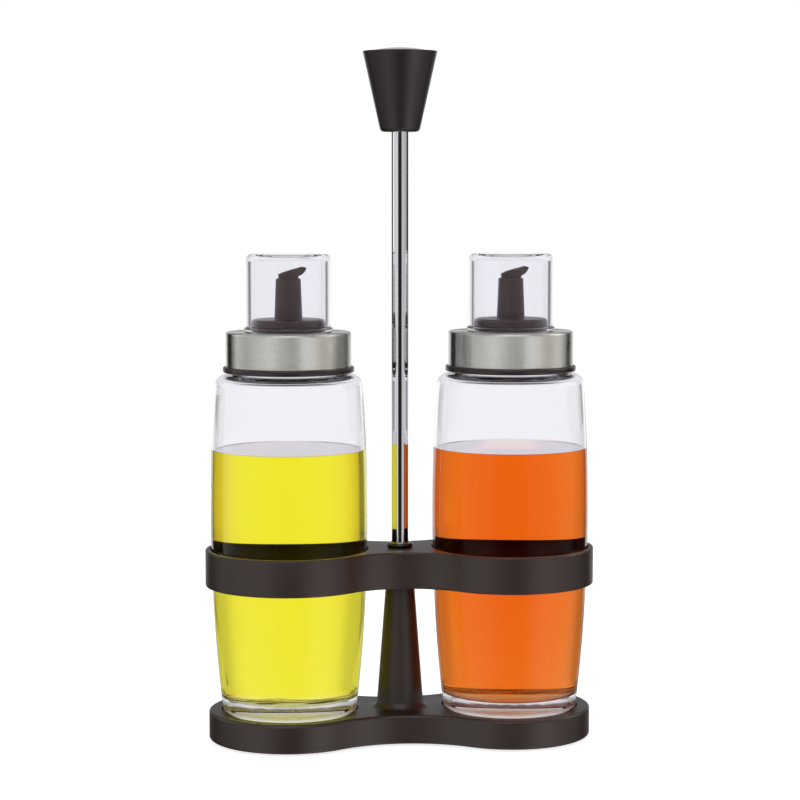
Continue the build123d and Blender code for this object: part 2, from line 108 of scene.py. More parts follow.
# ---- sizes and colours --------------------------------------------------------------------
class BottleSizes(PropertyGroup):
    belly_radius: length(0.03705, "Belly radius", "Outer radius at the fullest height")
    belly_z: length(0.108, "Belly height", "Height of the fullest part above the table")
    side_arc: length(0.81, "Side arc", "Radius of the long arc that the side follows")
    wall: length(0.0018, "Wall", "Glass thickness of the side")
    foot: length(0.008, "Foot", "Glass thickness under the liquid")
    push_up: length(0.0016, "Push-up", "Rise of the underside at its centre")
    bearing: length(0.0245, "Bearing ring", "Inner radius of the ring the bottle stands on")
    heel_round: length(0.0036, "Heel round", "Rounding of the heel")
    inner_heel: length(0.004, "Inner heel", "Rounding where the side meets the floor inside")
    shoulder_drop: length(0.0158, "Shoulder drop", "From the lip down to the shoulder's edge")
    shoulder_rise: length(0.0007, "Shoulder rise", "Slope of the shoulder towards the neck")
    shoulder_round: length(0.0048, "Shoulder round", "Rounding of the shoulder")
    neck_radius: length(0.0255, "Neck radius", "Outer radius of the neck")
    neck_wall: length(0.0025, "Neck wall", "Glass thickness of the neck")
    thread_pitch: length(0.004, "Thread pitch", "Rise of the thread in one turn")
    thread_height: length(0.0011, "Thread height", "How far the thread stands out")
    thread_start: length(0.0037, "Thread start", "From the shoulder to the thread's first turn")
    unevenness: length(0.00011, "Unevenness", "Waviness of the inside of the glass")
    dots: IntProperty(name="Bearing dots", description="Stippling dots round the heel", default=78)


class FillSizes(PropertyGroup):
    level: length(0.1381, "Level", "Height of the liquid's surface above the table")
    gap: length(0.00002, "Gap", "Hair's breadth between the liquid's skin and the glass it wets")
    creep: length(0.0004, "Creep", "How far the liquid climbs the wall")
    creep_width: length(0.0008, "Creep width", "How far from the wall the climb fades")


class LidSizes(PropertyGroup):
    sheet: length(0.0005, "Sheet", "Thickness of the steel band")
    edge_round: length(0.0009, "Edge round", "Rounding of the band's upper edge")
    pourer_radius: length(0.0174, "Pourer radius", "Radius of the pourer's base")


class CapSizes(PropertyGroup):
    wall: length(0.0023, "Wall", "Thickness of the cup's side")
    top: length(0.0019, "Top", "Thickness of the cup's top")
    top_round: length(0.003, "Top round", "Rounding of the cup's outer top edge")
    inner_round: length(0.0014, "Inner round", "Rounding inside the top")
    lip: length(0.00075, "Lip", "How far the mouth's lip stands out")
    lip_height: length(0.0016, "Lip height", "Height of the lip")


class StandSizes(PropertyGroup):
    rod_radius: length(0.004, "Rod radius", "Radius of the chrome rod")
    rim: length(0.0006, "Grip rim", "Plastic left round the disc")
    rim_depth: length(0.0015, "Rim depth", "Depth of the disc's recess")
    grip_foot: length(0.0091, "Grip foot", "Radius of the grip at its lower end")
    grip_foot_round: length(0.0022, "Grip foot round", "Rounding of the grip's lower edge")
    disc_edge: length(0.0008, "Disc edge", "Thickness of the disc at its edge")


class Finishes(PropertyGroup):
    stand: colour("#1f1511", "Stand", "Moulded plastic of the base, column and band")
    grip: colour("#1a1413", "Grip", "Moulded plastic of the grip")
    pourer: colour("#493a38", "Pourer", "Moulded plastic of the pourer and beak")
    lid: colour("#17100f", "Lid", "Moulded plastic of the lid and collar")
    steel: colour("#cccbc5", "Steel", "Brushed steel of the bands")
    chrome: colour("#e2e3e6", "Chrome", "Plating of the rod")
    glass: colour("#f8f8fb", "Glass", "Tint of the bottles")
    clear: colour("#f5f4f8", "Clear plastic", "Tint of the dust caps")
    oil: colour("#fffc24", "Oil", "What the oil lets through")
    vinegar: colour("#fecd1f", "Vinegar", "What the vinegar lets through")
    oil_depth: number(51, "Oil depth", "How strongly the oil colours, per metre")
    vinegar_depth: number(72, "Vinegar depth", "How strongly the vinegar colours, per metre")


class StageSettings(PropertyGroup):
    distance: length(1.12, "Camera distance", "From the stand's middle, along the floor")
    height: length(0.262, "Camera height", "Height of the lens above the table")
    aim: length(0.161, "Aim", "Height on the rod that the lens is centred on")
    turn: number(-5.0, "Turn", "Camera's way round from the front, in degrees")
    lens: number(107.2, "Lens", "Focal length in millimetres")
    room: number(0.75, "Room light", "Strength of the even light")
    lamp: number(9.0, "Lamps", "Power of the left and upper soft boxes in watts")


# ---- shapes ---------------------------------------------------------------------------------
SAME_POINT = 1e-9  # a row whose points lie no further apart than this, in metres, is a pole
LEAST_RADIUS = 1e-6  # keeps what is divided by the radius finite on the axis
UV_MAP = "round_and_along"
SPARE = 0.25  # share of a corner's round by which the points beside its arc lie further out


def rounded(corners, steps=7):
    """Profile through (radius, height, round) corners. Each corner with a round becomes an arc that
    touches both sides: its ends lie round / tan(half angle) along them, and an extra point beyond
    each end keeps the flat beside it flat when shaded."""
    points = [np.array(c[:2], float) for c in corners]
    out = []
    for i, (here, corner) in enumerate(zip(points, corners)):
        if corner[2] <= 0:
            out.append(here[None])
            continue
        back, on = points[i - 1] - here, points[(i + 1) % len(points)] - here
        back, on = back / np.linalg.norm(back), on / np.linalg.norm(on)
        half = math.acos(np.clip(back @ on, -1, 1)) / 2
        reach = corner[2] / math.tan(half)
        bisector = (back + on) / np.linalg.norm(back + on)
        centre = here + bisector * corner[2] / math.sin(half)
        start, end = here + back * reach - centre, here + on * reach - centre
        sweep = math.pi - 2 * half
        t = np.linspace(0, 1, steps)[:, None]
        arc = centre + (np.sin((1 - t) * sweep) * start + np.sin(t * sweep) * end) / math.sin(sweep)
        spare = SPARE * corner[2]
        out += [(here + back * (reach + spare))[None], arc, (here + on * (reach + spare))[None]]
    return np.concatenate(out)


def turned(profile, x, columns=256):
    """Grid of a profile carried round the upright axis at x: a point at radius r and height z goes
    to (x + r cos a, r sin a, z) for each angle a."""
    a = np.linspace(0, 2 * np.pi, columns, endpoint=False)
    r, z = profile[:, 0:1], profile[:, 1:2]
    return np.stack([x + r * np.cos(a), r * np.sin(a), z + 0 * a], axis=-1)


def about_axis(grid, x):
    """A grid's points as seen from the axis at x, with their radius and angle about it."""
    flat = grid - (x, 0, 0)
    return flat, np.linalg.norm(flat[..., :2], axis=-1), np.arctan2(flat[..., 1], flat[..., 0])


def pushed(grid, x, rise):
    """The grid with its points moved away from the axis at x by the rise."""
    flat, radius, _ = about_axis(grid, x)
    grow = 1 + rise / np.maximum(radius, LEAST_RADIUS)
    grid[..., 0] = x + flat[..., 0] * grow
    grid[..., 1] = flat[..., 1] * grow
    return grid


def skin(name, grid, body, loop=False, numbers=None):
    """Mesh over a grid whose columns close on themselves. A row whose points all meet becomes one
    vertex, which closes a pole; with loop the last row joins the first. Faces are turned outwards by
    the sign of the enclosed volume. The UV map holds metres round and metres along the profile.
    Numbers gives each row the number of the material that the faces above it wear."""
    rows, columns = grid.shape[:2]
    pole = np.ptp(grid, axis=1).max(axis=1) < SAME_POINT
    first = np.concatenate([[0], np.cumsum(np.where(pole, 1, columns))[:-1]])
    index = first[:, None] + np.where(pole[:, None], 0, np.arange(columns))
    points = grid[~pole[:, None] | (np.arange(columns) == 0)]
    along = np.concatenate([[0], np.cumsum(np.linalg.norm(np.diff(grid[:, 0], axis=0), axis=1))])
    step = np.linalg.norm(grid[:, 1] - grid[:, 0], axis=1).max()
    lower = np.arange(rows if loop else rows - 1)
    upper = (lower + 1) % rows
    right = (np.arange(columns) + 1) % columns
    corners = np.stack(
        [index[lower], index[lower][:, right], index[upper][:, right], index[upper]], axis=-1
    ).reshape(-1, 4)
    u = np.tile(np.stack([np.arange(columns), right], -1)[None] * step, (len(lower), 1, 1))
    u[:, -1, 1] = columns * step
    v = np.stack([along[lower], np.where(upper == 0, along[-1], along[upper])], -1)[:, None]
    v = np.tile(v, (1, columns, 1))
    uv = np.stack(
        [np.stack([u[..., i], v[..., j]], -1) for i, j in ((0, 0), (1, 0), (1, 1), (0, 1))], axis=2
    ).reshape(-1, 4, 2)
    keep = np.ones((len(corners), 4), bool)
    keep[corners[:, 0] == corners[:, 1], 1] = False
    keep[corners[:, 2] == corners[:, 3], 3] = False
    p, q, s, t = (points[corners[:, i]] for i in range(4))
    enclosed = sum(np.einsum("ij,ij->i", p, np.cross(*pair)).sum() for pair in ((q, s), (s, t)))
    if enclosed < 0:
        corners, uv, keep = corners[:, ::-1], uv[:, ::-1], keep[:, ::-1]
    sides = keep.sum(axis=1)
    mesh = bpy.data.meshes.new(name)
    mesh.vertices.add(len(points))
    mesh.vertices.foreach_set("co", points.astype(np.float32).ravel())
    mesh.loops.add(int(sides.sum()))
    mesh.loops.foreach_set("vertex_index", corners[keep].astype(np.int32))
    mesh.polygons.add(len(sides))
    mesh.polygons.foreach_set("loop_start", (np.cumsum(sides) - sides).astype(np.int32))
    mesh.polygons.foreach_set("use_smooth", np.ones(len(sides), bool))
    if numbers is not None:
        mesh.polygons.foreach_set("material_index", np.repeat(numbers[lower].astype(np.int32), columns))
    layer = mesh.uv_layers.new(name=UV_MAP)
    layer.data.foreach_set("uv", uv[keep].astype(np.float32).ravel())
    mesh.update(calc_edges=True)
    if mesh.validate():
        raise RuntimeError(f"{name}: the surface has broken faces")
    piece = bpy.data.objects.new(name, mesh)
    bpy.context.scene.collection.objects.link(piece)
    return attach(piece, body)


# ---- materials ------------------------------------------------------------------------------
DUST_SIZES = (0.035, 0.06)  # of a speck, as shares of its cell: full strength, and none
RARE_DUST = 0.93  # cells whose own random number is above this have a speck
NOISE_RANGE = (0.3, 0.7)  # where nearly all of a noise's values lie
BRUSH_LINE = 0.00012  # width of a brushed line
METAL_HAZE = 0.02  # by how much a metal's roughness drifts


def add(tree, kind, sockets=None, **settings):
    """Adds a node, sets its properties, and fills or links its input sockets."""
    node = tree.nodes.new(kind)
    for key, value in settings.items():
        setattr(node, key, value)
    for key, value in (sockets or {}).items():
        if isinstance(value, bpy.types.NodeSocket):
            tree.links.new(value, node.inputs[key])
        else:
            node.inputs[key].default_value = value
    return node


def blank(name):
    """A new material and its empty node tree."""
    material = bpy.data.materials.new(name)
    material.use_nodes = True
    material.node_tree.nodes.clear()
    return material, material.node_tree


def finish_with(tree, shader, volume=None):
    sockets = {"Surface": shader.outputs[0]}
    if volume:
        sockets["Volume"] = volume.outputs[0]
    add(tree, "ShaderNodeOutputMaterial", sockets)


def object_place(tree):
    return add(tree, "ShaderNodeTexCoord").outputs["Object"]


def noise(tree, place, scale, detail, **more):
    sockets = {"Vector": place, "Scale": scale, "Detail": detail, **more}
    return add(tree, "ShaderNodeTexNoise", sockets).outputs["Fac"]


def bumped(tree, height, strength, distance):
    return add(
        tree, "ShaderNodeBump", {"Height": height, "Strength": strength, "Distance": distance}
    ).outputs[0]


def blend(tree, factor, low, high):
    """Colour from low to high by the factor. The mix node's colours are its inputs 6 and 7 and its
    output 2."""
    return add(tree, "ShaderNodeMix", {"Factor": factor, 6: low, 7: high}, data_type="RGBA").outputs[2]


def ranged(tree, value, start, end, low, high):
    """Low where the value is at the start, high at the end."""
    sockets = {"Value": value, "From Min": start, "From Max": end, "To Min": low, "To Max": high}
    return add(tree, "ShaderNodeMapRange", sockets).outputs[0]


def combined(tree, operation, first, second):
    return add(tree, "ShaderNodeMath", {0: first, 1: second}, operation=operation).outputs[0]


def moulded_plastic(name, tint, roughness, grain, depth, gloss=1.0):
    """ABS or polypropylene from a spark-eroded mould: nearly black, a fine even grain that breaks up
    the highlight, slow drifts of sheen, and a few pale specks of dust."""
    material, tree = blank(name)
    place = object_place(tree)
    fine = noise(tree, place, 1 / grain, 3.0)
    slow = noise(tree, place, 28.0, 2.0)
    dust = add(
        tree, "ShaderNodeTexVoronoi", {"Vector": place, "Scale": 190.0, "Randomness": 1.0}, feature="F1"
    )
    speck = ranged(tree, dust.outputs["Distance"], *DUST_SIZES, 0.5, 0.0)
    rare = combined(tree, "GREATER_THAN", dust.outputs["Color"], RARE_DUST)
    shows = combined(tree, "MULTIPLY", speck, rare)
    paler = tuple(min(1.0, c * 4 + 0.03) for c in tint[:3]) + (1.0,)
    drift = blend(tree, slow, shade(tint, 0.88), shade(tint, 1.14))
    surface = add(
        tree,
        "ShaderNodeBsdfPrincipled",
        {
            "Base Color": blend(tree, shows, drift, paler),
            "Roughness": ranged(tree, slow, *NOISE_RANGE, roughness - 0.03, roughness + 0.04),
            "Normal": bumped(tree, fine, 0.35, depth),
            "IOR": 1.5,
            "Specular Tint": (gloss, 0.92 * gloss, 0.91 * gloss, 1.0),
        },
    )
    finish_with(tree, surface)
    return material


def metal(name, tint, roughness, brushed=0.0):
    """Bare or plated metal. Brushing is drawn as lines of uneven depth that run round the piece,
    0.12 mm apart, which is as fine as can show; they spread each highlight upright."""
    material, tree = blank(name)
    round_piece = add(tree, "ShaderNodeUVMap", uv_map=UV_MAP).outputs["UV"]
    stretch = add(tree, "ShaderNodeMapping", {"Vector": round_piece, "Scale": (12.0, 1 / BRUSH_LINE, 1.0)})
    strokes = noise(tree, stretch.outputs[0], 1.0, 4.0, Roughness=0.7)
    haze = noise(tree, object_place(tree), 60.0, 3.0)
    along = add(tree, "ShaderNodeTangent", direction_type="UV_MAP", uv_map=UV_MAP)
    surface = add(
        tree,
        "ShaderNodeBsdfPrincipled",
        {
            "Base Color": blend(tree, strokes, shade(tint, 1 - 0.25 * brushed), tuple(tint)),
            "Metallic": 1.0,
            "Roughness": ranged(tree, haze, *NOISE_RANGE, roughness, roughness + METAL_HAZE),
            "Anisotropic": brushed,
            "Anisotropic Rotation": 0.25,
            "Tangent": along.outputs[0],
            "Normal": bumped(tree, strokes, brushed, 0.00004),
        },
    )
    finish_with(tree, surface)
    return material


def turned_hardware(name, tint, roughness):
    """Plated or bare turned metal of the screw, washer and insert: dull, with faint blotches."""
    material, tree = blank(name)
    blotch = noise(tree, object_place(tree), 400.0, 4.0)
    surface = add(
        tree,
        "ShaderNodeBsdfPrincipled",
        {
            "Base Color": blend(tree, blotch, shade(tint, 0.8), tuple(tint)),
            "Metallic": 1.0,
            "Roughness": roughness,
            "Normal": bumped(tree, blotch, 0.2, 0.00005),
        },
    )
    finish_with(tree, surface)
    return material


def clear_body(name, tint, ior, ripple, ripple_depth, roughness=0.0):
    """Pressed soda-lime glass or moulded acrylic: clear, with the slow ripple that the mould leaves.
    The grey specular tint keeps glare off the faces turned to the eye, as polarised light does."""
    material, tree = blank(name)
    scale = (1 / ripple, 1 / ripple, 0.35 / ripple)
    stretch = add(tree, "ShaderNodeMapping", {"Vector": object_place(tree), "Scale": scale})
    wave = noise(tree, stretch.outputs[0], 1.0, 1.0)
    surface = add(
        tree,
        "ShaderNodeBsdfPrincipled",
        {
            "Base Color": tuple(tint),
            "Roughness": roughness,
            "IOR": ior,
            "Specular Tint": grey(0.15),
            "Transmission Weight": 1.0,
            "Normal": bumped(tree, wave, 0.5, ripple_depth),
        },
    )
    finish_with(tree, surface)
    return material


def liquid(name, tint, depth, ior):
    """Clear coloured liquid, whose colour deepens with the way through it. Against glass it bends
    nothing, because the wetted glass does that; its open surface bends as the liquid does, under a
    film that brightens it."""
    material, tree = blank(name)
    wave = noise(tree, object_place(tree), 35.0, 0.0)
    surface = add(
        tree,
        "ShaderNodeBsdfPrincipled",
        {
            "Base Color": grey(1.0),
            "Roughness": 0.0,
            "IOR": ior,
            "Coat Weight": 1.0 if ior > 1 else 0.0,
            "Coat IOR": 1.8,
            "Transmission Weight": 1.0,
            "Normal": bumped(tree, wave, 0.2, 0.0001),
        },
    )
    body = add(tree, "ShaderNodeVolumeAbsorption", {"Color": tuple(tint), "Density": depth})
    finish_with(tree, surface, body)
    return material


def silicone(name, tint):
    """Moulded silicone: milky, soft, slightly see-through at its edges."""
    material, tree = blank(name)
    cloud = noise(tree, object_place(tree), 150.0, 2.0)
    surface = add(
        tree,
        "ShaderNodeBsdfPrincipled",
        {
            "Base Color": blend(tree, cloud, shade(tint, 0.9), tuple(tint)),
            "Roughness": 0.45,
            "IOR": 1.41,
            "Subsurface Weight": 0.3,
            "Subsurface Radius": (0.001, 0.001, 0.001),
            "Normal": bumped(tree, cloud, 0.1, 0.0001),
        },
    )
    finish_with(tree, surface)
    return material


def wear(piece, *materials):
    """Puts the materials on a piece in the order of its faces' numbers."""
    numbers = np.zeros(len(piece.data.polygons), np.int32)
    piece.data.polygons.foreach_get("material_index", numbers)
    piece.data.materials.clear()
    for material in materials:
        piece.data.materials.append(material)
    if len(materials) > 1:
        piece.data.polygons.foreach_set("material_index", numbers)


def wear_node(node, material):
    wear(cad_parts[node], material)


def made(name, maker, *details, **more):
    """The named material, made the first time it is asked for."""
    return bpy.data.materials.get(name) or maker(name, *details, **more)


# ---- glass ------------------------------------------------------------------------------------
DRY, WETTED, STIPPLED = 0, 1, 2  # numbers of a bottle's materials
CORNER_STEPS = 9  # points on each rounded corner
HEEL_ROOM = 0.0075  # from the floor or the underside up to the first row of a side
CORNER_ROOM = 0.006  # from the other ends of long rows of points to the corner they lead to
NECK_ROW = 0.00035  # between two rows of the neck, fine enough for the thread
NECK_ROOM, LIP_ROOM = 0.001, 0.0012  # from the neck's foot and from the lip to its end rows
THREAD_ROOM = 0.0005  # height above the neck's foot where the thread may begin
SAME_RADIUS, SAME_HEIGHT = 1e-5, 1e-7  # how close a point counts as on the neck, a row as wetted
# waves round the inside of the glass: share of the unevenness, count, start, and drift with height
SAG_WAVES = ((0.6, 2, 0.7, 14), (0.5, 3, -1.1, -23), (0.3, 5, 0.0, 31))
SAG_FROM, SAG_FADE = 0.028, 0.004  # radius where they set in, and the way to their full size
THREAD_TURNS = 1.5
THREAD_END = 0.35  # radians over which the thread rises out of the neck
THREAD_HALF, THREAD_FLANK = 0.0012, 0.0007  # half its width, and the width of its slope
DOT_HEIGHT = 0.0006  # of the bearing dots' middle above the underside, and half their height
DOT_DEPTH = 0.0005
STIPPLED_SHARE = 0.8  # of the heel's round, from below
RIPPLE_ROOM, RIPPLE_FADE = 0.004, 0.006  # from the side to the floor's ripple; way to its full size
SKIN_EDGE = 0.006  # width of the ring along the glass where the liquid's surface has closer rows
SKIN_EDGE_ROWS = 6  # outermost rows of that surface that follow the unevenness of the glass


def side_radius(sizes, z, inset=0.0):
    """Bottle radius at height z: one long arc about the belly, moved inwards by the inset."""
    arc = sizes.side_arc - inset
    return sizes.belly_radius - sizes.side_arc + np.sqrt(arc**2 - (z - sizes.belly_z) ** 2)


def sag(sizes, a, z):
    """Unevenness of the inside of the glass: slow waves round it that drift with height."""
    waves = (share * np.sin(count * a + start + drift * z) for share, count, start, drift in SAG_WAVES)
    return sizes.unevenness * sum(waves)


def inside_profile(sizes, floor_z, wet_z, top_z, gap=0.0):
    """Inner side and floor from top_z down to the axis, with a row where the liquid's edge stands.
    A gap draws the profile inwards, for the liquid's own skin."""
    base_z = floor_z + sizes.foot + gap
    inset = sizes.wall + gap
    heel_radius = side_radius(sizes, base_z, inset)
    wall_z = np.linspace(wet_z, base_z + HEEL_ROOM, num=32)
    if top_z > wet_z:
        wall_z = np.concatenate([np.linspace(top_z, wet_z, num=12)[:-1], wall_z])
    side = np.column_stack([side_radius(sizes, wall_z, inset), wall_z, 0 * wall_z])
    floor_r = np.linspace(heel_radius - CORNER_ROOM, 0.0, num=14)
    floor = np.column_stack([floor_r, 0 * floor_r + base_z, 0 * floor_r])
    return [*side, (heel_radius, base_z, sizes.inner_heel), *floor]


def uneven(sizes, grid, x, chosen):
    """The turned grid with its chosen rows moved outwards by the unevenness of the glass."""
    flat, radius, angle = about_axis(grid, x)
    growth = np.clip((radius - SAG_FROM) / SAG_FADE, 0, 1)
    return pushed(grid, x, sag(sizes, angle, flat[..., 2]) * growth * chosen[:, None])


def thread_rise(sizes, angle, z, shoulder_z):
    """Height of the screw thread: a ridge whose centre climbs one pitch a turn."""
    rise = np.zeros_like(z)
    for turn in (0, 1):
        wound = angle % (2 * np.pi) + 2 * np.pi * turn
        left = 2 * np.pi * THREAD_TURNS - wound
        centre = shoulder_z + sizes.thread_start + sizes.thread_pitch * wound / (2 * np.pi)
        ends = np.clip(wound / THREAD_END, 0, 1) * np.clip(left / THREAD_END, 0, 1)
        slope = np.clip((THREAD_HALF - np.abs(z - centre)) / THREAD_FLANK, 0, 1)
        rise = np.maximum(rise, sizes.thread_height * slope * slope * (3 - 2 * slope) * ends)
    return rise


def floor_ripple(flat):
    """Height of the pressed ripples on the floor inside: crossed waves 12 and 20 mm long."""
    across, deep = flat[..., 0], flat[..., 1]
    bent = 310 * across + 2.0 * np.sin(230 * deep)
    return 0.00016 * np.sin(bent) + 0.0001 * np.sin(520 * deep + 1.3)


def bottle_surface(sizes, fill, contents):
    """Outer and inner side are long arcs; the heel, shoulder and lip are rounded corners. The neck
    adds the thread to its radius, the heel takes a row of dots out of it. Returns the grid and its
    rows' material numbers."""
    x = axis_of(contents)
    low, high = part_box(f"{contents}_bottle")
    floor, lip = low.z, high.z
    shoulder = lip - sizes.shoulder_drop
    neck_foot = shoulder + sizes.shoulder_rise
    mouth = sizes.neck_radius - sizes.neck_wall
    ceiling = shoulder - sizes.wall
    under_r = np.linspace(0, sizes.bearing, num=7)
    under = [(r, floor + sizes.push_up * (1 - (r / sizes.bearing) ** 2), 0) for r in under_r[:-1]]
    wall_z = np.linspace(floor + HEEL_ROOM, shoulder - CORNER_ROOM, num=44)
    side = np.column_stack([side_radius(sizes, wall_z), wall_z, 0 * wall_z])
    neck_z = np.arange(neck_foot + NECK_ROOM, lip - LIP_ROOM, NECK_ROW)
    neck = np.column_stack([0 * neck_z + sizes.neck_radius, neck_z, 0 * neck_z])
    outer = [
        *under,
        (sizes.bearing, floor, 0.0004),
        (side_radius(sizes, floor), floor, sizes.heel_round),
        *side,
        (side_radius(sizes, shoulder), shoulder, sizes.shoulder_round),
        (sizes.neck_radius, neck_foot, 0.0006),
        *neck,
        (sizes.neck_radius, lip, 0.0009),
        (mouth, lip, 0.0009),
        (mouth, ceiling + sizes.shoulder_rise, 0.0008),
        (side_radius(sizes, ceiling, sizes.wall), ceiling, 0.003),
    ]
    wet_z = fill.level + fill.creep
    inner = inside_profile(sizes, floor, wet_z, ceiling - CORNER_ROOM)
    profile = rounded([*outer, *inner], CORNER_STEPS)
    # the inner profile has one rounded corner, which takes an arc and a point on each side of it
    inner_rows = len(inner) - 1 + CORNER_STEPS + 2
    row = np.arange(len(profile))
    inside = row >= len(profile) - inner_rows
    grid = uneven(sizes, turned(profile, x, columns=5 * sizes.dots), x, inside.astype(float))
    flat, radius, angle = about_axis(grid, x)
    height = flat[..., 2]
    on_neck = np.abs(radius - sizes.neck_radius) < SAME_RADIUS
    threaded = on_neck & (height > neck_foot + THREAD_ROOM)
    rise = thread_rise(sizes, angle, height, neck_foot) * threaded
    on_heel = np.exp(-(((height - floor - DOT_HEIGHT) / DOT_HEIGHT) ** 2)) * (radius > sizes.bearing)
    rise = rise - DOT_DEPTH * on_heel * (0.5 + 0.5 * np.cos(sizes.dots * angle)) * (~inside)[:, None]
    grid = pushed(grid, x, rise)
    reach = side_radius(sizes, floor + sizes.foot, sizes.wall) - RIPPLE_ROOM
    growth = np.clip((reach - radius) / RIPPLE_FADE, 0, 1)
    grid[..., 2] += floor_ripple(flat) * inside[:, None] * growth
    pole = np.where(np.ptp(grid[..., :2], axis=1).max(axis=1) < SAME_POINT)[0]
    grid[pole, :, 2] = grid[pole, :1, 2]
    stippled = row < np.argmax(profile[:, 1] > floor + sizes.heel_round * STIPPLED_SHARE)
    wetted = inside & (profile[:, 1] <= wet_z + SAME_HEIGHT)
    return grid, np.where(stippled, STIPPLED, DRY) + WETTED * wetted


def fill_surface(sizes, fill, contents):
    """The inside of the glass, drawn in by the gap, under a level surface that climbs the wall: at a
    distance d from the wall it stands creep * exp(-d / creep width) above the level. Returns the grid
    and the rows of the open surface."""
    x = axis_of(contents)
    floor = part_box(f"{contents}_bottle")[0].z
    top = fill.level + fill.creep
    rim = float(side_radius(sizes, top, sizes.wall + fill.gap))
    near = SKIN_EDGE * np.exp(-np.linspace(0, 5, num=26))
    away = np.concatenate([np.linspace(rim, SKIN_EDGE, num=30), near])
    climb = fill.creep * np.exp(-away / fill.creep_width)
    surface = np.column_stack([rim - away, fill.level + climb, 0 * away])
    inner = inside_profile(sizes, floor, top, top, fill.gap)
    profile = rounded([*surface, *inner], CORNER_STEPS)
    row = np.arange(len(profile))
    at_glass = (row >= len(surface) - SKIN_EDGE_ROWS).astype(float)
    return uneven(sizes, turned(profile, x, columns=320), x, at_glass), row < len(surface)


class CRUET_OT_bottles(Operator):
    """Builds both glass bottles: long-arc sides, thick stippled foot and threaded neck"""

    bl_idname = "cruet.bottles"
    bl_label = "Bottles"

    def execute(self, context):
        scene = context.scene
        sizes, fill, tint = scene.cruet_bottle, scene.cruet_fill, scene.cruet_finishes.glass
        smooth = {"ripple": 0.03, "ripple_depth": 0.0002}
        rough = {"ripple": 0.002, "ripple_depth": 0.0003, "roughness": 0.5}
        glass = made("pressed_soda_lime_glass", clear_body, tint, GLASS_IOR, **smooth)
        stippled = made("stippled_glass_foot", clear_body, tint, GLASS_IOR, **rough)
        for contents, ior in LIQUIDS.items():
            # where the liquid wets it, glass bends light only by its own figure over the liquid's
            wet = made(f"glass_wetted_by_{contents}", clear_body, tint, GLASS_IOR / ior, **smooth)
            grid, rows = bottle_surface(sizes, fill, contents)
            bottle = skin(f"{contents}_glass", grid, f"{contents}_bottle", numbers=rows)
            wear(bottle, glass, wet, stippled)
            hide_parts(f"{contents}_bottle")
        return {"FINISHED"}


class CRUET_OT_contents(Operator):
    """Fills the bottles with oil and vinegar"""

    bl_idname = "cruet.contents"
    bl_label = "Oil and vinegar"

    def execute(self, context):
        scene = context.scene
        sizes, fill, looks = scene.cruet_bottle, scene.cruet_fill, scene.cruet_finishes
        colours = {"oil": (looks.oil, looks.oil_depth), "vinegar": (looks.vinegar, looks.vinegar_depth)}
        for contents, ior in LIQUIDS.items():
            grid, rows = fill_surface(sizes, fill, contents)
            piece = skin(f"{contents}_liquid", grid, f"{contents}_bottle", numbers=rows)
            inside = made(f"{contents}_against_glass", liquid, *colours[contents], 1.0)
            wear(piece, inside, made(f"{contents}_open_surface", liquid, *colours[contents], ior))
            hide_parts(f"{contents}_fill")
        return {"FINISHED"}


# ---- lids, pourers and dust caps -----------------------------------------------------------------
POURER_GAP = 0.0001  # from the pourer's base to the steel band


class CRUET_OT_lids(Operator):
    """Builds the brushed steel bands and finishes the lids and seals under them"""

    bl_idname = "cruet.lids"
    bl_label = "Lids"

    def execute(self, context):
        sizes, looks = context.scene.cruet_lid, context.scene.cruet_finishes
        steel = made("brushed_stainless_steel", metal, looks.steel, roughness=0.25, brushed=1.0)
        fine = {"roughness": 0.3, "grain": 0.0004, "depth": 0.00004}
        shell = made("moulded_black_lid_plastic", moulded_plastic, looks.lid, **fine)
        seal = made("milky_silicone", silicone, hexed("#dcdcda"))
        for contents in STATIONS:
            low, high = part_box(f"{contents}_lid_band")
            outside = (high.x - low.x) / 2
            hole = sizes.pourer_radius + POURER_GAP
            profile = rounded(
                [
                    (outside - sizes.sheet, low.z, 0.0001),
                    (outside, low.z, 0.0002),
                    (outside, high.z, sizes.edge_round),
                    (hole, high.z, 0.0001),
                    (hole, high.z - sizes.sheet, 0.0001),
                    (outside - sizes.sheet, high.z - sizes.sheet, sizes.edge_round - sizes.sheet),
                ]
            )
            grid = turned(profile, axis_of(contents))
            band = skin(f"{contents}_steel_band", grid, f"{contents}_lid", loop=True)
            wear(band, steel)
            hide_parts(f"{contents}_lid_band")
            wear_node(f"{contents}_lid_shell", shell)
            wear_node(f"{contents}_lid_seal", seal)
        return {"FINISHED"}


class CRUET_OT_pourers(Operator):
    """Finishes the black pourers and their beaks"""

    bl_idname = "cruet.pourers"
    bl_label = "Pourers"

    def execute(self, context):
        looks = context.scene.cruet_finishes
        fine = {"roughness": 0.34, "grain": 0.0004, "depth": 0.00003}
        plastic = made("moulded_black_pourer_plastic", moulded_plastic, looks.pourer, **fine)
        for contents in STATIONS:
            wear_node(f"{contents}_pourer", plastic)
            wear_node(f"{contents}_beak", plastic)
        return {"FINISHED"}


